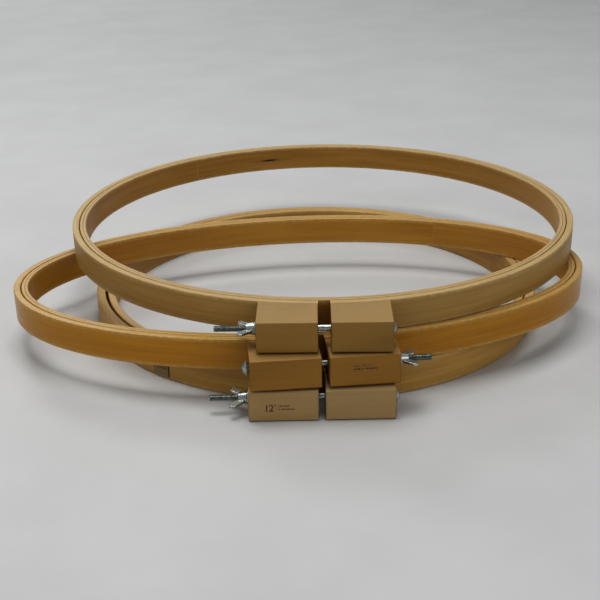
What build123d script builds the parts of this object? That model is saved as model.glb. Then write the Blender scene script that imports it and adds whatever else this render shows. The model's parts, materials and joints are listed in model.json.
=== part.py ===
"""Stack of three clamp-up wooden embroidery hoops: a round one, an oval one and a larger round one.

Each hoop is a closed inner ring inside a split outer ring. Two wooden blocks are glued to the ends
of the split, and a carriage bolt with a washer and a wing nut draws them together.

Frame: +Z up, Z = 0 is the surface the stack stands on, and the origin is below the middle of the
stack. +X runs to the right and -Y faces the clamps. All sizes are in millimetres. Each piece is
drawn in its hoop's own frame, with the hoop's centre at the origin and its clamp along -Y.
"""
import os
from dataclasses import dataclass
from math import atan2, cos, degrees, radians, sin

from build123d import *

# Wooden pieces
LEVEL_GAP = 0.3
EDGE_ROUND = 0.6
BLOCK_HEIGHT = 19.3
BLOCK_ROUND = 0.9
GLUE_LINE = 0.05
LAP_WIDTH = 0.6
LAP_DEPTH = 0.7

# Bolt
BOLT_DIAMETER = 3.9
BOLT_POINT = 0.5
HOLE_DIAMETER = 4.05
HEAD_DIAMETER = 10.0
HEAD_HEIGHT = 2.7
NECK_SIDE = 4.2
NECK_LENGTH = 2.6
NECK_CLEARANCE = 0.1

# Washer and wing nut
WASHER_DIAMETER = 8.8
WASHER_THICKNESS = 1.0
SEAT_GAP = 0.05
NUT_GAP = 0.3
HUB_LENGTH = 4.8
HUB_BASE_DIAMETER = 7.6
HUB_TOP_DIAMETER = 6.2
WING_THICKNESS = 1.6
WING_ROOT_RADIUS = 2.0
WING_ROOT_RISE = 2.7
WING_ROOT_REACH = 3.4
WING_TIP_RADIUS = 2.2
WING_TIP_RISE = 7.9
WING_TIP_REACH = 7.2

# Paper label on the bottom hoop's outer ring; its angle is counted from the hoop's own +X
LABEL_WIDTH = 14.5
LABEL_HEIGHT = 12.0
LABEL_THICKNESS = 0.15
LABEL_ANGLE = 230.5
LABEL_FOOT = 1.5

LEFT = -1
RIGHT = 1


@dataclass(frozen=True)
class Hoop:
    """One hoop. Angles are in degrees, and half_width is the half size in line with the clamp."""

    name: str
    floor: float
    centre: tuple
    turn: float
    half_length: float
    half_width: float
    strip_height: float
    outer_wall: float
    slack: float
    inner_wall: float
    inner_shift: tuple
    lap_angle: float
    block_length: float
    block_depth: float
    block_foot: float
    block_gap: float
    bolt_length: float
    head_stands_off: float
    nut_side: int
    wing_turn: float

    @property
    def top(self):
        return self.floor + self.strip_height

    @property
    def outer_face(self):
        """Distance from the middle of the split to a block's outer end."""
        return self.block_gap / 2 + self.block_length

    @property
    def front_face(self):
        return -(self.half_width + self.block_depth)

    @property
    def bolt_y(self):
        return -(self.half_width + self.block_depth / 2)

    @property
    def bolt_z(self):
        return self.block_foot + BLOCK_HEIGHT / 2


BOTTOM = Hoop(
    name="bottom", floor=0.0, centre=(7.4, -16.5), turn=2.0,
    half_length=160.0, half_width=160.0, strip_height=20.7,
    outer_wall=6.0, slack=1.1, inner_wall=5.0, inner_shift=(0.5, 0.5), lap_angle=20.0,
    block_length=41.8, block_depth=25.0, block_foot=0.3, block_gap=3.9,
    bolt_length=111.5, head_stands_off=0.2, nut_side=LEFT, wing_turn=78.0,
)
MIDDLE = Hoop(
    name="middle", floor=BOTTOM.top + LEVEL_GAP, centre=(-1.2, -58.3), turn=7.0,
    half_length=197.8, half_width=116.0, strip_height=20.1,
    outer_wall=4.6, slack=0.5, inner_wall=4.6, inner_shift=(0.0, 0.0), lap_angle=53.5,
    block_length=42.4, block_depth=26.4, block_foot=0.1, block_gap=4.3,
    bolt_length=111.5, head_stands_off=1.5, nut_side=RIGHT, wing_turn=92.0,
)
TOP = Hoop(
    name="top", floor=MIDDLE.top + LEVEL_GAP, centre=(12.2, 19.2), turn=0.9,
    half_length=185.8, half_width=185.8, strip_height=19.4,
    outer_wall=4.6, slack=0.5, inner_wall=4.6, inner_shift=(0.0, 0.0), lap_angle=128.0,
    block_length=36.5, block_depth=28.6, block_foot=0.1, block_gap=7.4,
    bolt_length=106.0, head_stands_off=0.2, nut_side=LEFT, wing_turn=88.0,
)
HOOPS = (BOTTOM, MIDDLE, TOP)


def place(shape, hoop, shift=(0.0, 0.0)):
    """Move a shape from the hoop's own frame to its place in the stack."""
    return Pos(*hoop.centre, hoop.floor) * Rot(0, 0, hoop.turn) * Pos(*shift, 0) * shape


def oval_disc(half_length, half_width, low, high):
    return Pos(0, 0, low) * extrude(Ellipse(half_length, half_width), high - low)


def rounded_ring(half_length, half_width, wall, height):
    """A bent wooden strip, standing on edge, with all four long edges rounded."""
    solid = oval_disc(half_length, half_width, 0, height)
    solid -= oval_disc(half_length - wall, half_width - wall, -1, height + 1)
    return fillet(solid.edges().filter_by(Plane.XY), EDGE_ROUND)


def outer_ring(hoop):
    """The outer ring, split at the front where the two blocks face each other."""
    ring = rounded_ring(hoop.half_length, hoop.half_width, hoop.outer_wall, hoop.strip_height)
    split = Box(hoop.block_gap, 3 * hoop.outer_wall, 3 * hoop.strip_height)
    return ring - Pos(0, -hoop.half_width + hoop.outer_wall / 2, 0) * split


def inner_ring(hoop):
    """The closed inner ring, with the line on its inner face where the bent strip is lapped."""
    trim = hoop.outer_wall + hoop.slack
    half_length = hoop.half_length - trim
    half_width = hoop.half_width - trim
    ring = rounded_ring(half_length, half_width, hoop.inner_wall, hoop.strip_height)
    angle = radians(hoop.lap_angle)
    lap_x = (half_length - hoop.inner_wall) * cos(angle)
    lap_y = (half_width - hoop.inner_wall) * sin(angle)
    square_on = degrees(atan2(half_length * sin(angle), half_width * cos(angle)))
    groove = Rot(0, 0, square_on) * Box(2 * LAP_DEPTH, LAP_WIDTH, 3 * hoop.strip_height)
    return ring - Pos(lap_x, lap_y, 0) * groove


def along_bolt(shape, hoop, outward, distance):
    """Lay a shape drawn along +Z on the bolt's line, facing outward, at a distance from the split."""
    return Pos(outward * distance, hoop.bolt_y, hoop.bolt_z) * Rot(0, 90 * outward, 0) * shape


def block(hoop, side):
    """A clamp block, its back hollowed to fit the outer ring; the head's block holds the bolt's neck."""
    depth = hoop.block_depth + hoop.half_width / 4
    solid = Box(hoop.block_length, depth, BLOCK_HEIGHT)
    behind = solid.edges().group_by(Axis.Y)[-1]
    solid = fillet(solid.edges() - behind, BLOCK_ROUND)
    middle = side * (hoop.block_gap + hoop.block_length) / 2
    solid = Pos(middle, hoop.front_face + depth / 2, hoop.bolt_z) * solid
    half_length = hoop.half_length + GLUE_LINE
    half_width = hoop.half_width + GLUE_LINE
    solid -= oval_disc(half_length, half_width, -BLOCK_HEIGHT, 2 * BLOCK_HEIGHT)
    hole = Cylinder(HOLE_DIAMETER / 2, 2 * hoop.block_length)
    solid -= along_bolt(hole, hoop, side, hoop.outer_face)
    if side != hoop.nut_side:
        pocket_side = NECK_SIDE + 2 * NECK_CLEARANCE
        pocket = Box(pocket_side, pocket_side, 2 * (NECK_LENGTH + NECK_CLEARANCE))
        solid -= along_bolt(pocket, hoop, side, hoop.outer_face)
    return solid


def carriage_bolt(hoop):
    """Domed head, square neck and long shank, drawn downwards from the seat under the head."""
    reach = HEAD_DIAMETER / 2
    sphere_radius = (reach**2 + HEAD_HEIGHT**2) / (2 * HEAD_HEIGHT)
    dome = Pos(0, 0, HEAD_HEIGHT - sphere_radius) * Sphere(sphere_radius)
    dome &= Pos(0, 0, sphere_radius) * Box(4 * reach, 4 * reach, 2 * sphere_radius)
    neck = Pos(0, 0, -NECK_LENGTH / 2) * Box(NECK_SIDE, NECK_SIDE, NECK_LENGTH)
    shank = Pos(0, 0, -hoop.bolt_length / 2) * Cylinder(BOLT_DIAMETER / 2, hoop.bolt_length)
    shank = chamfer(shank.edges().sort_by(Axis.Z)[0], BOLT_POINT)
    seat = hoop.outer_face + hoop.head_stands_off
    return along_bolt(dome + neck + shank, hoop, -hoop.nut_side, seat)


def washer(hoop):
    disc = Cylinder(WASHER_DIAMETER / 2, WASHER_THICKNESS)
    disc -= Cylinder(HOLE_DIAMETER / 2, 2 * WASHER_THICKNESS)
    disc = fillet(disc.edges().filter_by(GeomType.CIRCLE), WASHER_THICKNESS / 5)
    middle = hoop.outer_face + SEAT_GAP + WASHER_THICKNESS / 2
    return along_bolt(disc, hoop, hoop.nut_side, middle)


def wing_nut(hoop):
    """A tapered hub with two rounded wings that sweep away from the washer."""
    nut = Pos(0, 0, HUB_LENGTH / 2) * Cone(HUB_BASE_DIAMETER / 2, HUB_TOP_DIAMETER / 2, HUB_LENGTH)
    for side in (LEFT, RIGHT):
        root = Pos(side * WING_ROOT_REACH, WING_ROOT_RISE) * Circle(WING_ROOT_RADIUS)
        tip = Pos(side * WING_TIP_REACH, WING_TIP_RISE) * Circle(WING_TIP_RADIUS)
        outline = make_hull(root.edges() + tip.edges())
        wing = extrude(Plane.XZ * outline, WING_THICKNESS / 2, both=True)
        nut += fillet(wing.edges(), WING_THICKNESS / 4)
    nut -= Cylinder(HOLE_DIAMETER / 2, 6 * HUB_LENGTH)
    face = hoop.outer_face + SEAT_GAP + WASHER_THICKNESS + NUT_GAP
    return along_bolt(Rot(0, 0, hoop.wing_turn) * nut, hoop, hoop.nut_side, face)


def paper_label(hoop):
    """A small paper patch that lies on the outer ring's outer face, to the left of the clamp."""
    radius = hoop.half_length + GLUE_LINE
    shell = Cylinder(radius + LABEL_THICKNESS, LABEL_HEIGHT) - Cylinder(radius, 2 * LABEL_HEIGHT)
    window = Rot(0, 0, LABEL_ANGLE) * Pos(radius, 0, 0) * Box(radius / 4, LABEL_WIDTH, LABEL_HEIGHT)
    return Pos(0, 0, LABEL_FOOT + LABEL_HEIGHT / 2) * (shell & window)


def hoop_parts(hoop):
    """The seven pieces of a hoop, each in its place in the stack."""
    return {
        "outer_ring": place(outer_ring(hoop), hoop),
        "inner_ring": place(inner_ring(hoop), hoop, hoop.inner_shift),
        "left_block": place(block(hoop, LEFT), hoop),
        "right_block": place(block(hoop, RIGHT), hoop),
        "carriage_bolt": place(carriage_bolt(hoop), hoop),
        "washer": place(washer(hoop), hoop),
        "wing_nut": place(wing_nut(hoop), hoop),
    }


os.makedirs("parts", exist_ok=True)
for hoop in HOOPS:
    for piece, shape in hoop_parts(hoop).items():
        export_step(shape, f"parts/{hoop.name}_{piece}.step")
export_step(place(paper_label(BOTTOM), BOTTOM), "parts/paper_label.step")
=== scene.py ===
import json
from math import atan2, ceil, cos, pi, radians, sin, sqrt, tau

import bmesh
import bpy
import numpy as np
from mathutils import Matrix, Vector


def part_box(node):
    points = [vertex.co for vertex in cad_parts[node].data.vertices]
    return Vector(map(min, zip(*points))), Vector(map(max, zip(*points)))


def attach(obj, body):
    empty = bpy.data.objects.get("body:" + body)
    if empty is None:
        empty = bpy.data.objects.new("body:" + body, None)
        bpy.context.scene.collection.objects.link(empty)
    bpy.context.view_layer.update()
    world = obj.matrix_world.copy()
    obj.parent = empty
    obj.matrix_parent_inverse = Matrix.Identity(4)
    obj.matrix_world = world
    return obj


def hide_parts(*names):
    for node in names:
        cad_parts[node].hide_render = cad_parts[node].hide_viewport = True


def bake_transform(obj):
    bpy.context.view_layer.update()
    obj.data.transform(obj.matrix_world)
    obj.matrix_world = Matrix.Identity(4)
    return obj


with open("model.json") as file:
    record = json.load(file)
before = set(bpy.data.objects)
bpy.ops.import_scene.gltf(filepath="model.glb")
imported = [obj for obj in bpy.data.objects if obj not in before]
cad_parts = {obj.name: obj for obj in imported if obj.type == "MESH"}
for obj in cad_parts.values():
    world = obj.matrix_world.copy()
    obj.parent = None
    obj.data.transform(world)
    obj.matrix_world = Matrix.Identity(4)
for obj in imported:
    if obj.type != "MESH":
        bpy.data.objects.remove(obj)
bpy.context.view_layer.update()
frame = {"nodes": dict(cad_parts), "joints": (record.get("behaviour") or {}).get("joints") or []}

MM = 0.001
HOOPS = ("bottom", "middle", "top")

# Bent strips. Walls are as in the CAD source; laps are angles in degrees round the hoop.
EDGE_ROUND = 0.6 * MM
OUTER_WALL = {"bottom": 6.0 * MM, "middle": 4.6 * MM, "top": 4.6 * MM}
INNER_WALL = {"bottom": 5.0 * MM, "middle": 4.6 * MM, "top": 4.6 * MM}
LAP_ANGLE = {"bottom": 20.0, "middle": 53.5, "top": 128.0}
LAP_GROOVE = 0.12 * MM
LAP_HALF_WIDTH = 0.3 * MM
LAMINATED_INNER = ("middle", "top")
GLUE_LINE = 0.16 * MM
STATION_STEP = 1.6 * MM
SHARP_ANGLE = 40.0
SAME_POINT = 1e-7

# Steps across a strip's section: a rounded edge, a face, the rim, and half of each
ROUND_STEPS = 4
FACE_STEPS = 8
RIM_STEPS = 5
HALF_FACE_STEPS = 5
HALF_RIM_STEPS = 3

# The dark knot on the top hoop's inner ring
KNOT_HOOP = "top"
KNOT_ANGLE = 106.0
KNOT_HEIGHT = 9.0 * MM
KNOT_HALF_LENGTH = 8.5 * MM
KNOT_HALF_HEIGHT = 0.8 * MM
KNOT_DEPTH = 0.45 * MM
KNOT_ROWS = (1.2, 0.75, 0.35, 0.0, -0.35, -0.75, -1.2)
KNOT_PATH_STEPS = 4000

# Bolts
THREAD_PITCH = 0.7 * MM
THREAD_DEPTH = 0.38 * MM
ROWS_PER_TURN = 6
THREAD_CREST = 0.15
THREAD_FLANK = 0.7
THREAD_START = 1.5 * MM
THREAD_END = 0.3 * MM
PLAIN_SHANK = 52 * MM
BOLT_RADIUS = 1.95 * MM
BOLT_SIDES = 28
HEAD_HEIGHT = 2.7 * MM
HEAD_RADIUS = 5.0 * MM
HEAD_ROWS = 12
UNDER_HEAD = 3.2 * MM
NECK_LENGTH = 2.6 * MM
NECK_HALF = 2.1 * MM
NECK_CORNER = 1.3
NECK_TAPER = 0.3 * MM
NARROWED = 0.92
TIP_LENGTH = 0.5 * MM
TIP_CHAMFER = 0.55 * MM

# Marks on the block fronts
INK_LIFT = 0.03 * MM
INK_STEP_MM = 0.6
INK_WOBBLE_MM = (0.05, 0.07)
CAP_SHARE = 0.7

# Waves in the end grain and the label's print, in radians a metre, and the pith of the rings
RING_RATE = 3600.0
PRINT_RATE = 2900.0
PITH_DEPTH = -0.11
PITH_HEIGHT = -0.03

# Floor, light and camera
FLOOR_LEVEL = -0.0002
FLOOR_SIDES = 96
FLOOR_RINGS = (0.3, 0.8, 2.0, 6.0)
SKY_COLOUR = (0.86, 0.88, 0.90, 1.0)
SKY_STRENGTH = 0.30
IMAGE_PIXELS = 600.0
SENSOR_WIDTH = 36.0
FOCAL_PIXELS = 1070.66
CAMERA_PLACE = (20.23 * MM, -756.76 * MM, 313.06 * MM)
CAMERA_PITCH = 0.40071
CAMERA_YAW = -0.03311
CAMERA_ROLL = 0.01859

# Colours, linear RGB
# Pale chips on worn edges, partly painted highlights standing in for glints
CHIP_GLINT_COLOUR = (0.75, 0.62, 0.42)
KNOT_COLOUR = (0.018, 0.007, 0.002)
# Paler tone for upward block faces: painted top light
TOP_LIGHT_COLOUR = (0.50, 0.42, 0.25)
ZINC_BRIGHT = (0.52, 0.56, 0.54)
ZINC_DULL = (0.29, 0.32, 0.29)
ZINC_STAIN = (0.2, 0.19, 0.15)
THREAD_GREASE = (0.10, 0.12, 0.11)
INK_BARE_WOOD = (0.26, 0.14, 0.055)
LABEL_PAPER = (0.34, 0.19, 0.10)
LABEL_STAIN = (0.19, 0.085, 0.045)
LABEL_FIELD = (0.27, 0.205, 0.082)
LABEL_INK = (0.06, 0.018, 0.014)
LABEL_BORDER = (0.045, 0.018, 0.006)
FLOOR_PALE = (0.565, 0.565, 0.56)
FLOOR_DULL = (0.53, 0.53, 0.525)


# ---------------------------------------------------------------- materials


class Shader:
    """Builds one procedural material around a Principled shader."""

    def __init__(self, name):
        self.material = bpy.data.materials.new(name)
        self.material.use_nodes = True
        self.nodes = self.material.node_tree.nodes
        self.nodes.clear()
        self.bsdf = self.add("ShaderNodeBsdfPrincipled")
        output = self.add("ShaderNodeOutputMaterial")
        self.plug(output.inputs["Surface"], self.bsdf.outputs[0])

    def add(self, kind, **settings):
        node = self.nodes.new(kind)
        for key, value in settings.items():
            setattr(node, key, value)
        return node

    def plug(self, socket, value):
        if isinstance(value, bpy.types.NodeSocket):
            self.material.node_tree.links.new(value, socket)
        else:
            socket.default_value = value

    def set(self, **values):
        for key, value in values.items():
            self.plug(self.bsdf.inputs[key.replace("_", " ")], value)

    def math(self, operation, a, b=0.0, c=0.0, clamp=False):
        node = self.add("ShaderNodeMath", operation=operation, use_clamp=clamp)
        for socket, value in zip(node.inputs, (a, b, c)):
            self.plug(socket, value)
        return node.outputs[0]

    def vector(self, operation, a, b=(0, 0, 0)):
        node = self.add("ShaderNodeVectorMath", operation=operation)
        self.plug(node.inputs[0], a)
        self.plug(node.inputs[1], b)
        return node.outputs["Value" if operation in ("DOT_PRODUCT", "LENGTH") else "Vector"]

    def split(self, vector):
        node = self.add("ShaderNodeSeparateXYZ")
        self.plug(node.inputs[0], vector)
        return node.outputs

    def join(self, x, y, z):
        node = self.add("ShaderNodeCombineXYZ")
        for socket, value in zip(node.inputs, (x, y, z)):
            self.plug(socket, value)
        return node.outputs[0]

    def noise(self, vector, scale, detail=3.0, roughness=0.5, distortion=0.0):
        """Noise of the given scale along each axis, in cycles a metre."""
        node = self.add("ShaderNodeTexNoise")
        self.plug(node.inputs["Vector"], self.vector("MULTIPLY", vector, scale))
        self.plug(node.inputs["Scale"], 1.0)
        self.plug(node.inputs["Detail"], detail)
        self.plug(node.inputs["Roughness"], roughness)
        self.plug(node.inputs["Distortion"], distortion)
        return node.outputs["Fac"]

    def step(self, value, low, high, out_low=0.0, out_high=1.0):
        """A smooth step from out_low, at low, to out_high, at high."""
        node = self.add("ShaderNodeMapRange", interpolation_type="SMOOTHSTEP")
        for socket, number in zip(node.inputs, (value, low, high, out_low, out_high)):
            self.plug(socket, number)
        return node.outputs[0]

    def mix(self, factor, a, b):
        node = self.add("ShaderNodeMix", data_type="RGBA")
        self.plug(node.inputs["Factor"], factor)
        for socket, value in ((node.inputs[6], a), (node.inputs[7], b)):
            linked = isinstance(value, bpy.types.NodeSocket)
            self.plug(socket, value if linked else (*value, 1.0))
        return node.outputs[2]

    def bump(self, height, distance, strength=1.0):
        node = self.add("ShaderNodeBump")
        self.plug(node.inputs["Strength"], strength)
        self.plug(node.inputs["Distance"], distance)
        self.plug(node.inputs["Height"], height)
        self.plug(self.bsdf.inputs["Normal"], node.outputs[0])

    def attribute(self, name, output="Vector"):
        return self.add("ShaderNodeAttribute", attribute_name=name).outputs[output]

    def position(self):
        return self.add("ShaderNodeTexCoord").outputs["Object"]

    def normal(self):
        return self.add("ShaderNodeTexCoord").outputs["Normal"]


def scaled(colour, factor):
    return tuple(min(1.0, factor * part) for part in colour)


def wood_tone(shader, place, light, dark, seed, streak=1.0):
    """Colour of straight-grained hardwood. Place runs along the grain in x, and is in metres.

    Returns the colour, the grain lines and the pores.
    """
    place = shader.vector("ADD", place, (seed * 1.37, seed * 0.71, seed * 0.53))
    broad = shader.noise(place, (7.0, 90.0, 90.0), detail=2.0, roughness=0.5, distortion=0.3)
    lines = shader.noise(place, (16.0, 620.0, 620.0), detail=4.0, roughness=0.62, distortion=0.2)
    fine = shader.noise(place, (60.0, 2400.0, 2400.0), detail=2.0, roughness=0.6)
    pores = shader.noise(place, (190.0, 2600.0, 2600.0), detail=1.0, roughness=0.5)
    tone = shader.math("MULTIPLY", broad, 0.55)
    tone = shader.math("MULTIPLY_ADD", lines, 0.55 * streak, tone)
    tone = shader.math("MULTIPLY_ADD", fine, 0.22 * streak, tone)
    colour = shader.mix(shader.step(tone, 0.42, 0.92), light, dark)
    flecks = shader.step(pores, 0.66, 0.78, 0.0, 0.35 * streak)
    colour = shader.mix(flecks, colour, scaled(dark, 0.45))
    return colour, lines, pores


def strip_wood(name, light, dark, edge, seed, gloss, knot=None, groove=None, chips_with_glints=False):
    """Bent strip: grain along its length and paler worn edges.

    Groove is the depth of a laminated strip's dark glue line, and knot is the knot's place
    along the strip, its height, and its half length and half height.
    """
    shader = Shader(name)
    place = shader.attribute("strip")
    along, across, height = shader.split(place)
    colour, lines, pores = wood_tone(shader, place, light, dark, seed)
    drift = shader.noise(place, (4.5, 0.0, 0.0), detail=2.0, roughness=0.5)
    drift = shader.step(drift, 0.3, 0.7, 0.0, 0.35)
    colour = shader.mix(drift, colour, scaled(dark, 0.8))

    top = shader.attribute("rim", "Fac")
    rim_lines = shader.noise(place, (30.0, 2200.0, 1.0), detail=3.0, roughness=0.6)
    rim = shader.mix(shader.step(rim_lines, 0.35, 0.7), edge, scaled(edge, 0.72))
    colour = shader.mix(top, colour, rim)
    worn = shader.attribute("edge", "Fac")
    scuff = shader.noise(place, (260.0, 500.0, 500.0), detail=3.0, roughness=0.6)
    wear = shader.math("MULTIPLY", worn, shader.step(scuff, 0.42, 0.62))
    colour = shader.mix(shader.math("MULTIPLY", wear, 0.28), colour, scaled(edge, 1.3))
    if chips_with_glints:
        # Pale chips on the worn edges: worn varnish, and painted highlights standing in for
        # glints
        chip_glint_noise = shader.noise(place, (420.0, 900.0, 900.0), detail=2.0, roughness=0.5)
        chip_glint = shader.step(chip_glint_noise, 0.66, 0.71)
        colour = shader.mix(shader.math("MULTIPLY", chip_glint, worn), colour, CHIP_GLINT_COLOUR)
    if groove is not None:
        off = shader.math("ABSOLUTE", shader.math("SUBTRACT", across, groove))
        seam = shader.math("MULTIPLY", shader.step(off, 0.05 * MM, 0.3 * MM, 0.75, 0.0), top)
        colour = shader.mix(seam, colour, scaled(dark, 0.3))
    if knot is not None:
        knot_along, knot_height, half_long, half_high = knot
        dx = shader.math("DIVIDE", shader.math("SUBTRACT", along, knot_along), half_long)
        dz = shader.math("DIVIDE", shader.math("SUBTRACT", height, knot_height), half_high)
        wobble = shader.noise(place, (500.0, 500.0, 900.0), detail=2.0, roughness=0.5)
        reach = shader.vector("LENGTH", shader.join(dx, 0.0, dz))
        reach = shader.math("MULTIPLY_ADD", wobble, 0.7, reach)
        halo = shader.step(reach, 1.0, 3.2, 0.45, 0.0)
        colour = shader.mix(halo, colour, scaled(dark, 0.45))
        colour = shader.mix(shader.step(reach, 0.9, 1.5, 1.0, 0.0), colour, KNOT_COLOUR)
    lap = shader.attribute("lap", "Fac")
    colour = shader.mix(shader.math("MULTIPLY", lap, 0.4), colour, edge)

    smear = shader.noise(place, (25.0, 140.0, 140.0), detail=3.0, roughness=0.6)
    roughness = shader.step(smear, 0.3, 0.7, gloss - 0.07, gloss + 0.1)
    roughness = shader.math("MULTIPLY_ADD", wear, 0.15, roughness, clamp=True)
    relief = shader.math("MULTIPLY_ADD", pores, -0.6, lines)
    shader.set(Base_Color=colour, Roughness=roughness, Specular_IOR_Level=0.3)
    shader.bump(relief, distance=0.05 * MM, strength=0.5)
    return shader


def block_wood(name, light, dark, turn, seed):
    """Sawn block: grain along its length, and darker end grain with rings on its two ends."""
    shader = Shader(name)
    place = shader.position()
    along = shader.vector("DOT_PRODUCT", place, (cos(turn), sin(turn), 0.0))
    depth = shader.vector("DOT_PRODUCT", place, (-sin(turn), cos(turn), 0.0))
    height = shader.split(place)[2]
    straight = shader.join(along, depth, height)
    colour, lines, pores = wood_tone(shader, straight, light, dark, seed, 0.8)
    face = shader.normal()

    # End grain: rings about a pith behind the block and below it
    end = shader.vector("DOT_PRODUCT", face, (cos(turn), sin(turn), 0.0))
    end = shader.step(shader.math("ABSOLUTE", end), 0.6, 0.9)
    off_y = shader.math("SUBTRACT", depth, PITH_DEPTH)
    off_z = shader.math("SUBTRACT", height, PITH_HEIGHT)
    rings = shader.vector("LENGTH", shader.join(0.0, off_y, off_z))
    swirl = shader.noise(straight, (20.0, 120.0, 120.0), detail=2.0, roughness=0.5)
    rings = shader.math("MULTIPLY_ADD", swirl, 0.004, rings)
    rings = shader.math("SINE", shader.math("MULTIPLY", rings, RING_RATE))
    speckle = shader.noise(straight, (1500.0, 1500.0, 1500.0), detail=2.0, roughness=0.6)
    rings = shader.math("MULTIPLY_ADD", speckle, 1.4, rings)
    rings = shader.step(rings, -0.6, 1.6)
    colour = shader.mix(end, colour, shader.mix(rings, scaled(dark, 0.8), scaled(dark, 0.5)))

    # Grime in patches, worn corners, and painted light on the upward face
    grime = shader.noise(straight, (45.0, 160.0, 160.0), detail=4.0, roughness=0.65)
    grime = shader.step(grime, 0.56, 0.8, 0.0, 0.35)
    colour = shader.mix(grime, colour, scaled(dark, 0.55))
    corner = shader.add("ShaderNodeNewGeometry").outputs["Pointiness"]
    worn = shader.step(corner, 0.53, 0.6, 0.0, 0.5)
    colour = shader.mix(worn, colour, scaled(light, 1.25))
    # Upward faces made paler: painted top light
    up = shader.step(shader.split(face)[2], 0.6, 0.95, 0.0, 0.22)
    colour = shader.mix(up, colour, TOP_LIGHT_COLOUR)

    smear = shader.noise(straight, (60.0, 140.0, 140.0), detail=3.0, roughness=0.6)
    roughness = shader.step(smear, 0.3, 0.7, 0.42, 0.62)
    shader.set(Base_Color=colour, Roughness=roughness, Specular_IOR_Level=0.3)
    shader.bump(shader.math("MULTIPLY_ADD", pores, -0.5, lines), distance=0.05 * MM, strength=0.5)
    return shader


def zinc(name, thread=False):
    """Worn zinc plating, with dull patches and, on a thread, dark grease in the roots."""
    shader = Shader(name)
    place = shader.position()
    cloud = shader.noise(place, (420.0, 420.0, 420.0), detail=4.0, roughness=0.65)
    spots = shader.noise(place, (2100.0, 2100.0, 2100.0), detail=2.0, roughness=0.5)
    colour = shader.mix(shader.step(cloud, 0.35, 0.68), ZINC_BRIGHT, ZINC_DULL)
    colour = shader.mix(shader.step(spots, 0.62, 0.74, 0.0, 0.5), colour, ZINC_STAIN)
    if thread:
        root = shader.attribute("root", "Fac")
        colour = shader.mix(shader.step(root, 0.35, 1.0), colour, THREAD_GREASE)
    roughness = shader.step(cloud, 0.3, 0.7, 0.2, 0.42)
    shader.set(Base_Color=colour, Metallic=1.0, Roughness=roughness)
    shader.bump(cloud, distance=0.04 * MM, strength=0.4)
    return shader


def give(piece, shader):
    piece.data.materials.clear()
    piece.data.materials.append(shader.material)


# ---------------------------------------------------------------- geometry


def add_piece(name, mesh):
    piece = bpy.data.objects.new(name, mesh)
    bpy.context.scene.collection.objects.link(piece)
    return piece


def make_mesh(name, points, faces, fields=()):
    """A smooth-shaded mesh. Fields are (name, "FLOAT" or "FLOAT_VECTOR", values by point)."""
    mesh = bpy.data.meshes.new(name)
    mesh.from_pydata([tuple(p) for p in points], [], faces)
    for key, kind, values in fields:
        layer = mesh.attributes.new(key, kind, "POINT")
        slot = "value" if kind == "FLOAT" else "vector"
        layer.data.foreach_set(slot, np.asarray(values, np.float32).ravel())
    mesh.validate()
    mesh.update()
    mesh.shade_smooth()
    mesh.set_sharp_from_angle(angle=radians(SHARP_ANGLE))
    return add_piece(name, mesh)


def outward_faces(piece):
    """Turns every face of a closed mesh outwards."""
    work = bmesh.new()
    work.from_mesh(piece.data)
    bmesh.ops.recalc_face_normals(work, faces=work.faces)
    work.to_mesh(piece.data)
    work.free()


def half_sizes(low, high, turn):
    """Half length and half width of an oval turned by turn, from the box round it."""
    wide, deep = (high.x - low.x) / 2, (high.y - low.y) / 2
    c2, s2 = cos(turn) ** 2, sin(turn) ** 2
    length = sqrt((wide**2 * c2 - deep**2 * s2) / (c2 - s2))
    width = sqrt((deep**2 * c2 - wide**2 * s2) / (c2 - s2))
    return length, width


class HoopPlace:
    """Where a hoop lies, read from its packed outer ring and the joint along its bolt."""

    def __init__(self, name):
        self.name = name
        low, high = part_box(f"{name}_outer_ring")
        joints = {joint["name"]: joint for joint in frame["joints"]}
        spin = joints[f"{name}_nut_spin"]
        self.bolt_point = Vector(spin["pos_m"])
        self.bolt_axis = Vector(spin["axis"])
        self.nut_side = 1 if self.bolt_axis.x > 0 else -1
        right = self.bolt_axis * self.nut_side
        self.turn = atan2(right.y, right.x)
        self.centre = Vector(((low.x + high.x) / 2, (low.y + high.y) / 2, low.z))
        self.height = high.z - low.z
        self.half_length, self.half_width = half_sizes(low, high, self.turn)

    def to_world(self, x, y, z):
        c, s = cos(self.turn), sin(self.turn)
        return (
            self.centre.x + c * x - s * y,
            self.centre.y + s * x + c * y,
            self.centre.z + z,
        )

    def along(self, x, y):
        """A point's distance along the hoop's own X, from its centre."""
        return (x - self.centre.x) * cos(self.turn) + (y - self.centre.y) * sin(self.turn)

    def block(self, word):
        """The points of the CAD block named left or right."""
        node = frame["nodes"][f"{self.name}_{word}_block"]
        return [vertex.co for vertex in node.data.vertices]

    def block_distances(self, word):
        """How far along the hoop's X a block's points lie from the middle of the split."""
        return [abs(self.along(point.x, point.y)) for point in self.block(word)]


PLACES = {name: HoopPlace(name) for name in HOOPS}


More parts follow.
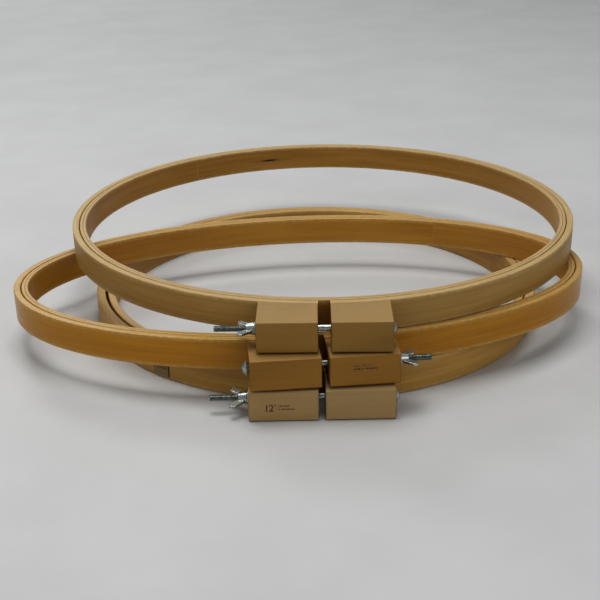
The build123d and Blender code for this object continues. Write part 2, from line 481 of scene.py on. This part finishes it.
def strip_profile(wall, height, laminated, slit=None):
    """The strip's section as (depth from the outer face, height, on an edge, on the rim).

    A laminated strip has a groove in the middle of its top, and slit is a height on the inner
    face that gets closely spaced points, for the knot.
    """
    r = EDGE_ROUND
    quarter = [i * pi / (2 * ROUND_STEPS) for i in range(ROUND_STEPS + 1)]
    points = []

    def run(start, end, steps, rim):
        """Points between two corners, without the corners."""
        for i in range(1, steps):
            t = i / steps
            depth = start[0] + t * (end[0] - start[0])
            points.append((depth, start[1] + t * (end[1] - start[1]), 0.0, rim))

    # Outer face, upwards
    points.extend((r + r * cos(pi + a), r + r * sin(pi + a), 1.0, 0.5) for a in reversed(quarter))
    run((0, r), (0, height - r), FACE_STEPS, 0.0)
    points.extend((r - r * cos(a), height - r + r * sin(a), 1.0, 0.5) for a in quarter)

    # Top
    if laminated:
        middle = wall / 2
        run((r, height), (middle - GLUE_LINE, height), HALF_RIM_STEPS, 1.0)
        points.append((middle - GLUE_LINE, height, 0.0, 1.0))
        points.append((middle, height - 1.4 * GLUE_LINE, 0.0, 1.0))
        points.append((middle + GLUE_LINE, height, 0.0, 1.0))
        run((middle + GLUE_LINE, height), (wall - r, height), HALF_RIM_STEPS, 1.0)
    else:
        run((r, height), (wall - r, height), RIM_STEPS, 1.0)

    # Inner face, downwards
    points.extend((wall - r + r * sin(a), height - r + r * cos(a), 1.0, 0.5) for a in quarter)
    if slit is None:
        run((wall, height - r), (wall, r), FACE_STEPS, 0.0)
    else:
        rows = [slit + row * MM for row in KNOT_ROWS]
        run((wall, height - r), (wall, rows[0]), HALF_FACE_STEPS, 0.0)
        points.extend((wall, row, 0.0, 0.0) for row in rows)
        run((wall, rows[-1]), (wall, r), HALF_FACE_STEPS, 0.0)

    # Underside
    points.extend((wall - r + r * cos(a), r - r * sin(a), 1.0, 0.5) for a in quarter)
    run((wall - r, 0), (r, 0), RIM_STEPS, 1.0)

    unique = points[:1]
    for p in points[1:]:
        if abs(p[0] - unique[-1][0]) + abs(p[1] - unique[-1][1]) > SAME_POINT:
            unique.append(p)
    return unique


def line_lengths(half_length, half_width, inset, angles):
    """Distance along an oval, inset from its outer face, to each angle."""
    line = np.stack(
        [(half_length - inset) * np.cos(angles), (half_width - inset) * np.sin(angles)], 1
    )
    return np.concatenate([[0.0], np.cumsum(np.linalg.norm(np.diff(line, axis=0), axis=1))])


def bend_strip(name, place, sizes, shift, angles, profile, closed=False, knot=None):
    """Sweeps a strip's section round an oval. A closed one has a lap groove where it meets."""
    half_length, half_width = sizes
    wall = max(p[0] for p in profile)
    lengths = line_lengths(half_length, half_width, wall / 2, angles)
    points, strip, edge, rim, lap = [], [], [], [], []
    for i, angle in enumerate(angles):
        at_lap = closed and (i < 2 or i >= len(angles) - 2)
        for depth, height, on_edge, on_rim in profile:
            inset = depth
            in_lap = at_lap and depth > wall - EDGE_ROUND / 2
            if in_lap:
                inset -= LAP_GROOVE
            if knot is not None and depth > wall - 1e-6:
                knot_along, knot_height, half_long, half_high = knot
                reach = ((lengths[i] - knot_along) / half_long) ** 2
                reach += ((height - knot_height) / half_high) ** 2
                inset -= KNOT_DEPTH * max(0.0, 1.0 - reach)
            x = (half_length - inset) * cos(angle) + shift[0]
            y = (half_width - inset) * sin(angle) + shift[1]
            points.append(place.to_world(x, y, height))
            strip.append((lengths[i], depth, height))
            edge.append(on_edge)
            rim.append(on_rim)
            lap.append(float(in_lap))
    n, m = len(profile), len(angles)
    faces = []
    for i in range(m if closed else m - 1):
        j = (i + 1) % m
        for k in range(n):
            q = (k + 1) % n
            faces.append((i * n + k, i * n + q, j * n + q, j * n + k))
    if not closed:
        faces.append(tuple(range(n - 1, -1, -1)))
        faces.append(tuple((m - 1) * n + k for k in range(n)))
    fields = [
        ("strip", "FLOAT_VECTOR", strip),
        ("edge", "FLOAT", edge),
        ("rim", "FLOAT", rim),
        ("lap", "FLOAT", lap),
    ]
    return make_mesh(name, points, faces, fields)


def build_outer_half(place, side, word):
    """Half of the split outer ring, from its block round to the back of the hoop."""
    edge = min(place.block_distances(word))
    front = -pi / 2 + side * edge / place.half_length
    stop = pi / 2 if side > 0 else pi / 2 - tau
    count = int(place.half_length * abs(stop - front) / STATION_STEP)
    piece = bend_strip(
        f"{place.name}_outer_ring_{word}",
        place,
        (place.half_length, place.half_width),
        (0, 0),
        np.linspace(front, stop, count),
        strip_profile(OUTER_WALL[place.name], place.height, laminated=False),
    )
    outward_faces(piece)
    return piece


# Light, dark and edge colours, seed and gloss
OUTER_LOOKS = {
    "bottom": ((0.55, 0.325, 0.086), (0.38, 0.20, 0.040), (0.54, 0.36, 0.145), 1.0, 0.48),
    "middle": ((0.52, 0.245, 0.012), (0.39, 0.155, 0.004), (0.54, 0.35, 0.120), 2.0, 0.30),
    "top": ((0.475, 0.295, 0.090), (0.34, 0.193, 0.049), (0.54, 0.385, 0.18), 3.0, 0.46),
}
INNER_LOOKS = {
    "bottom": ((0.48, 0.28, 0.070), (0.33, 0.16, 0.030), (0.54, 0.36, 0.145), 11.0, 0.46),
    "middle": ((0.52, 0.275, 0.042), (0.38, 0.165, 0.014), (0.55, 0.36, 0.13), 11.0, 0.36),
    "top": ((0.46, 0.25, 0.058), (0.31, 0.15, 0.024), (0.55, 0.395, 0.19), 8.0, 0.44),
}
OUTER_SHADERS = {
    name: strip_wood(f"{name}_bentwood", *OUTER_LOOKS[name], chips_with_glints=name == "middle")
    for name in HOOPS
}

for name, place in PLACES.items():
    halves = {}
    for side, word in ((-1, "left"), (1, "right")):
        halves[side] = build_outer_half(place, side, word)
    moving = -place.nut_side
    fixed, bending = halves[place.nut_side], halves[moving]
    for piece in (fixed, bending):
        give(piece, OUTER_SHADERS[name])
        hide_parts(f"{name}_outer_ring")
    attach(fixed, f"{name}_outer")
    reach = max(place.block_distances("left" if moving < 0 else "right"))
    block_back = place.half_width * sqrt(1 - (reach / place.half_length) ** 2)
    place.to_world(0, place.half_width, 0)
    place.to_world(0, -block_back, 0)
    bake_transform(bending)


def inner_place(place):
    """Half sizes of the inner ring, and its shift from the outer one, from its packed box."""
    low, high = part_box(f"{place.name}_inner_ring")
    x, y = (low.x + high.x) / 2 - place.centre.x, (low.y + high.y) / 2 - place.centre.y
    c, s = cos(place.turn), sin(place.turn)
    return half_sizes(low, high, place.turn), (c * x + s * y, -s * x + c * y)


for name, place in PLACES.items():
    wall = INNER_WALL[name]
    laminated = name in LAMINATED_INNER
    sizes, shift = inner_place(place)
    lap = radians(LAP_ANGLE[name])
    half_slit = LAP_HALF_WIDTH / sizes[0]
    around = np.linspace(
        lap + half_slit * 1.2, lap + tau - half_slit * 1.2, int(tau * sizes[0] / STATION_STEP)
    )
    angles = np.concatenate([
        [lap, lap + half_slit],
        around,
        [lap + tau - half_slit, lap + tau - half_slit * 0.3],
    ])
    knot = None
    if name == KNOT_HOOP:
        to_knot = np.linspace(lap, radians(KNOT_ANGLE) - place.turn + tau, KNOT_PATH_STEPS)
        knot_along = line_lengths(*sizes, wall / 2, to_knot)[-1]
        knot = (knot_along, KNOT_HEIGHT, KNOT_HALF_LENGTH, KNOT_HALF_HEIGHT)
    piece = bend_strip(
        f"{name}_inner_ring_bent",
        place,
        sizes,
        shift,
        angles,
        strip_profile(wall, place.height, laminated, slit=KNOT_HEIGHT if knot else None),
        closed=True,
        knot=knot,
    )
    outward_faces(piece)
    groove = wall / 2 if laminated else None
    shader = strip_wood(f"{name}_inner_wood", *INNER_LOOKS[name], knot=knot, groove=groove)
    give(piece, shader)
    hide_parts(f"{name}_inner_ring")
    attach(piece, f"{name}_inner")


# ---------------------------------------------------------------- blocks, bolts and nuts

# Light and dark colours
BLOCK_TONES = {
    "bottom": ((0.37, 0.245, 0.104), (0.28, 0.17, 0.062)),
    "middle": ((0.29, 0.142, 0.020), (0.21, 0.090, 0.009)),
    "top": ((0.28, 0.156, 0.035), (0.21, 0.110, 0.018)),
}
plate = zinc("worn_zinc")
thread_plate = zinc("worn_zinc_thread", thread=True)
for name, place in PLACES.items():
    for index, word in enumerate(("left", "right")):
        seed = 11.0 + 3 * index + len(name)
        shader = block_wood(f"{name}_{word}_block_wood", *BLOCK_TONES[name], place.turn, seed)
        give(frame["nodes"][f"{name}_{word}_block"], shader)
    for word in ("washer", "wing_nut"):
        give(frame["nodes"][f"{name}_{word}"], plate)


def bolt_rows(crown, tip):
    """The bolt's cross-sections as (distance along it, radius, shape, dirt), from its crown."""
    rows = []
    dome = (HEAD_RADIUS**2 + HEAD_HEIGHT**2) / (2 * HEAD_HEIGHT)
    for i in range(1, HEAD_ROWS + 1):
        a = i / HEAD_ROWS * atan2(HEAD_RADIUS, dome - HEAD_HEIGHT)
        rows.append((crown + dome - dome * cos(a), dome * sin(a), "round", 0.0))
    seat = crown + HEAD_HEIGHT
    neck_end = seat + NECK_LENGTH
    rows.append((seat, HEAD_RADIUS * 0.97, "round", 0.3))
    rows.append((seat, UNDER_HEAD, "round", 0.5))
    rows.append((seat + 0.02 * MM, NECK_HALF, "square", 0.6))
    rows.append((neck_end - NECK_TAPER, NECK_HALF, "square", 0.2))
    rows.append((neck_end, NECK_HALF * NARROWED, "square", 0.2))
    rows.append((neck_end + 0.05 * MM, BOLT_RADIUS * NARROWED, "round", 0.6))
    start, stop = neck_end + 0.1 * MM, tip - TIP_LENGTH
    count = ceil((stop - start) / THREAD_PITCH * ROWS_PER_TURN)
    for i in range(count + 1):
        rows.append((start + (stop - start) * i / count, BOLT_RADIUS, "thread", 0.0))
    rows.append((tip, BOLT_RADIUS - TIP_CHAMFER, "round", 0.2))
    return rows, stop


def thread_cut(distance, angle, cut, stop):
    """How deep a helical thread is at a point, from 0 to 1, and how far it has faded in."""
    wave = abs(2 * ((distance / THREAD_PITCH - angle / tau) % 1.0) - 1)
    depth = min(1.0, max(0.0, (wave - THREAD_CREST) / THREAD_FLANK))
    fade = min(1.0, (distance - cut) / THREAD_START, (stop - distance) / THREAD_END + 0.2)
    return depth, max(0.0, fade)


def build_bolt(place):
    """A carriage bolt with a domed head, a square neck, a plain shank and a rolled thread."""
    node = frame["nodes"][f"{place.name}_carriage_bolt"]
    axis = place.bolt_axis
    side = Vector((-axis.y, axis.x, 0.0))
    up = Vector((0.0, 0.0, 1.0))
    travel = [(v.co - place.bolt_point).dot(axis) for v in node.data.vertices]
    crown, tip = min(travel), max(travel)
    cut = crown + PLAIN_SHANK
    rows, stop = bolt_rows(crown, tip)
    points, root = [], []
    for distance, radius, kind, dirt in rows:
        for k in range(BOLT_SIDES):
            a = tau * k / BOLT_SIDES
            r, d = radius, dirt
            if kind == "square":
                r = min(radius / max(abs(cos(a)), abs(sin(a))), radius * NECK_CORNER)
            if kind == "thread":
                depth, fade = thread_cut(distance, a, cut, stop)
                r = radius - THREAD_DEPTH * depth * fade
                d = depth if distance > cut else 0.0
            offset = side * (r * cos(a)) + up * (r * sin(a))
            points.append(place.bolt_point + axis * distance + offset)
            root.append(d)
    faces = []
    for i in range(len(rows) - 1):
        here, there = i * BOLT_SIDES, (i + 1) * BOLT_SIDES
        for k in range(BOLT_SIDES):
            q = (k + 1) % BOLT_SIDES
            faces.append((here + k, here + q, there + q, there + k))
    top = len(points)
    points.append(place.bolt_point + axis * crown)
    root.append(0.0)
    faces.extend((top, (k + 1) % BOLT_SIDES, k) for k in range(BOLT_SIDES))
    last = (len(rows) - 1) * BOLT_SIDES
    faces.append(tuple(last + k for k in range(BOLT_SIDES)))
    fields = [("root", "FLOAT", root)]
    piece = make_mesh(f"{place.name}_threaded_bolt", points, faces, fields)
    outward_faces(piece)
    return piece


for name, place in PLACES.items():
    bolt = build_bolt(place)
    give(bolt, thread_plate)
    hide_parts(f"{name}_carriage_bolt")
    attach(bolt, f"{name}_clamp")


# ---------------------------------------------------------------- marks


def ink(name, colour):
    """Worn stamping ink: colour that thins out over the grain."""
    shader = Shader(name)
    place = shader.position()
    gaps = shader.noise(place, (1600.0, 1600.0, 1600.0), detail=3.0, roughness=0.6)
    tone = shader.mix(shader.step(gaps, 0.42, 0.66), colour, INK_BARE_WOOD)
    shader.set(Base_Color=tone, Roughness=0.6)
    shader.bump(gaps, distance=0.02 * MM, strength=0.4)
    return shader


def front_face(place, word):
    """A block's left edge, front face and foot, as the hoop's own X, Y and height."""
    c, s = cos(place.turn), sin(place.turn)
    centre = place.centre
    local = [(p.x - centre.x, p.y - centre.y, p.z) for p in place.block(word)]
    left = min(c * x + s * y for x, y, _ in local)
    front = min(-s * x + c * y for x, y, _ in local)
    return left, front, min(z for _, _, z in local) - centre.z


def plates(name, place, word, bars, seed):
    """Thin ink bars with slightly uneven outlines. Each is (left, right, foot, top), in mm."""
    left, front, foot = front_face(place, word)
    draw = np.random.default_rng(seed)
    points, faces = [], []
    for x0, x1, z0, z1 in bars:
        steps = max(2, int((x1 - x0) / INK_STEP_MM))
        outline = [(x0 + (x1 - x0) * i / steps, z0) for i in range(steps + 1)]
        outline += [(x1 - (x1 - x0) * i / steps, z1) for i in range(steps + 1)]
        outline = [
            (x + draw.normal(0, INK_WOBBLE_MM[0]), z + draw.normal(0, INK_WOBBLE_MM[1]))
            for x, z in outline
        ]
        first, count = len(points), len(outline)
        for y in (front - INK_LIFT, front + INK_LIFT / 3):
            points += [place.to_world(left + x * MM, y, foot + z * MM) for x, z in outline]
        faces.append(tuple(first + i for i in range(count)))
        faces.append(tuple(first + 2 * count - 1 - i for i in range(count)))
        for i in range(count):
            j = (i + 1) % count
            faces.append((first + i, first + count + i, first + count + j, first + j))
    piece = make_mesh(name, points, faces)
    outward_faces(piece)
    return piece


def size_number(name, place, word, text, left_mm, foot_mm, height_mm):
    """The hoop's size in inches, stamped on the front of a block."""
    left, front, foot = front_face(place, word)
    curve = bpy.data.curves.new(name, "FONT")
    curve.body = text
    curve.size = height_mm * MM / CAP_SHARE
    curve.space_character = 0.85
    curve.offset = 0.12 * MM
    curve.extrude = 0.5 * INK_LIFT
    curve.resolution_u = 8
    source = bpy.data.objects.new(name + "_curve", curve)
    bpy.context.scene.collection.objects.link(source)
    bpy.context.view_layer.update()
    evaluated = source.evaluated_get(bpy.context.evaluated_depsgraph_get())
    mesh = bpy.data.meshes.new_from_object(evaluated)
    bpy.data.objects.remove(source)
    mesh.name = name
    corner = place.to_world(left + left_mm * MM, front - 0.5 * INK_LIFT, foot + foot_mm * MM)
    stand = Matrix.Rotation(place.turn, 4, "Z") @ Matrix.Rotation(pi / 2, 4, "X")
    mesh.transform(Matrix.Translation(corner) @ stand)
    return add_piece(name, mesh)


brown_ink = ink("brown_ink", (0.045, 0.018, 0.008))
faded_ink = ink("faded_ink", (0.15, 0.085, 0.035))
red_ink = ink("red_ink", (0.055, 0.008, 0.008))
# Name, hoop, block, bars, seed and ink
BARS = (
    (
        "size_marks", "bottom", "left",
        ((15.4, 15.7, 10.0, 11.4), (16.0, 16.3, 10.0, 11.4)),
        3, brown_ink,
    ),
    (
        "bottom_block_bars", "bottom", "left",
        (
            (18.0, 20.6, 9.6, 10.5), (21.1, 24.6, 9.6, 10.5),
            (17.6, 18.9, 7.4, 8.3), (19.5, 27.6, 7.4, 8.3),
        ),
        4, faded_ink,
    ),
    (
        "middle_block_bars", "middle", "right",
        ((14.0, 18.4, 12.3, 13.6), (19.4, 22.0, 12.4, 13.7), (23.0, 25.2, 12.5, 13.8)),
        5, faded_ink,
    ),
    (
        "middle_block_line", "middle", "right",
        ((14.0, 18.2, 10.3, 11.3), (18.9, 20.2, 10.4, 11.3), (20.9, 28.4, 10.5, 11.4)),
        6, red_ink,
    ),
)
number = size_number(
    "size_number", PLACES["bottom"], "left", text="12", left_mm=9.3, foot_mm=6.5, height_mm=4.5
)
marks = [(number, brown_ink, "bottom_outer")]
for name, hoop, word, bars, seed, shader in BARS:
    marks.append((plates(name, PLACES[hoop], word, bars, seed), shader, f"{hoop}_outer"))
for piece, shader, body in marks:
    give(piece, shader)
    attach(piece, body)


# ---------------------------------------------------------------- label


def label_paper():
    """Aged paper: plain bars above, a plain field below, and a dark border at one end."""
    shader = Shader("label_print")
    place = shader.position()
    low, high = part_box("paper_label")
    centre, rise = (low + high) / 2, high.z - low.z
    slope = atan2(centre.y, centre.x) + pi / 2
    along = shader.vector("DOT_PRODUCT", place, (cos(slope), sin(slope), 0.0))
    mid = centre.x * cos(slope) + centre.y * sin(slope)
    along = shader.math("SUBTRACT", along, mid)
    height = shader.split(place)[2]
    flat = shader.join(along, 0.0, height)
    cloud = shader.noise(flat, (260.0, 260.0, 260.0), detail=4.0, roughness=0.65)
    colour = shader.mix(shader.step(cloud, 0.35, 0.7), LABEL_PAPER, LABEL_STAIN)
    lower = shader.step(height, low.z + 0.36 * rise, low.z + 0.30 * rise)
    colour = shader.mix(lower, colour, LABEL_FIELD)
    bars = shader.math("SINE", shader.math("MULTIPLY", height, PRINT_RATE))
    breaks = shader.noise(flat, (900.0, 1.0, 420.0), detail=1.0, roughness=0.5)
    print_ink = shader.math(
        "MULTIPLY", shader.step(bars, 0.1, 0.6), shader.step(breaks, 0.42, 0.52)
    )
    print_ink = shader.math("MULTIPLY", print_ink, shader.math("SUBTRACT", 1.0, lower))
    colour = shader.mix(shader.math("MULTIPLY", print_ink, 0.8), colour, LABEL_INK)
    half = (high - low).to_2d().length / 2
    border = shader.step(along, 0.80 * half, 0.88 * half)
    colour = shader.mix(border, colour, LABEL_BORDER)
    shader.set(Base_Color=colour, Roughness=0.75)
    shader.bump(cloud, distance=0.05 * MM, strength=0.5)
    return shader


give(frame["nodes"]["paper_label"], label_paper())


# ---------------------------------------------------------------- floor, light and camera


def build_floor():
    """A pale disc just below the object."""
    points = [(0.0, 0.0, FLOOR_LEVEL)]
    for radius in FLOOR_RINGS:
        for k in range(FLOOR_SIDES):
            a = tau * k / FLOOR_SIDES
            points.append((radius * cos(a), radius * sin(a), FLOOR_LEVEL))
    turns = [(k, (k + 1) % FLOOR_SIDES) for k in range(FLOOR_SIDES)]
    faces = [(0, 1 + k, 1 + q) for k, q in turns]
    for i in range(len(FLOOR_RINGS) - 1):
        a, b = 1 + i * FLOOR_SIDES, 1 + (i + 1) * FLOOR_SIDES
        faces += [(a + k, b + k, b + q, a + q) for k, q in turns]
    floor = make_mesh("floor", points, faces)
    shader = Shader("floor_paper")
    place = shader.position()
    cloud = shader.noise(place, (9.0, 9.0, 9.0), detail=4.0, roughness=0.6)
    tone = shader.mix(shader.step(cloud, 0.3, 0.7), FLOOR_PALE, FLOOR_DULL)
    shader.set(Base_Color=tone, Roughness=0.6)
    give(floor, shader)


build_floor()

scene = bpy.context.scene
scene.view_settings.view_transform = "Standard"
scene.view_settings.look = "Medium High Contrast"


def area_light(name, place, target, size, power):
    """A round soft light that points at the target."""
    data = bpy.data.lights.new(name, "AREA")
    data.shape = "DISK"
    data.size = size
    data.energy = power
    light = bpy.data.objects.new(name, data)
    light.location = place
    light.rotation_mode = "QUATERNION"
    light.rotation_quaternion = (Vector(target) - Vector(place)).to_track_quat("-Z", "Y")
    scene.collection.objects.link(light)


area_light("ceiling", place=(-0.15, 0.1, 1.9), target=(0.0, 0.0, 0.0), size=1.1, power=17.0)
area_light("window_left", place=(-1.3, -0.7, 1.2), target=(0.0, 0.0, 0.0), size=0.9, power=3.7)
area_light("window_right", place=(0.95, -1.15, 0.8), target=(0.0, 0.0, 0.0), size=0.9, power=2.6)
area_light("backdrop", place=(-1.1, 2.3, 1.7), target=(-0.7, 2.1, 0.0), size=1.0, power=16.0)

world = bpy.data.worlds.new("studio")
world.use_nodes = True
scene.world = world
sky = world.node_tree.nodes["Background"]
sky.inputs["Color"].default_value = SKY_COLOUR
sky.inputs["Strength"].default_value = SKY_STRENGTH


def build_camera():
    """The camera at the photograph's viewing angle."""
    look = Vector((
        sin(CAMERA_YAW) * cos(CAMERA_PITCH),
        cos(CAMERA_YAW) * cos(CAMERA_PITCH),
        -sin(CAMERA_PITCH),
    ))
    level = Vector((cos(CAMERA_YAW), -sin(CAMERA_YAW), 0.0))
    down = look.cross(level)
    right = level * cos(CAMERA_ROLL) + down * sin(CAMERA_ROLL)
    down = down * cos(CAMERA_ROLL) - level * sin(CAMERA_ROLL)
    data = bpy.data.cameras.new("camera")
    data.sensor_width = SENSOR_WIDTH
    data.lens = SENSOR_WIDTH * FOCAL_PIXELS / IMAGE_PIXELS
    data.clip_start, data.clip_end = 0.01, 50.0
    camera = bpy.data.objects.new("camera", data)
    rotation = Matrix((right, -down, -look)).transposed().to_4x4()
    camera.matrix_world = Matrix.Translation(CAMERA_PLACE) @ rotation
    scene.collection.objects.link(camera)
    scene.camera = camera


build_camera()
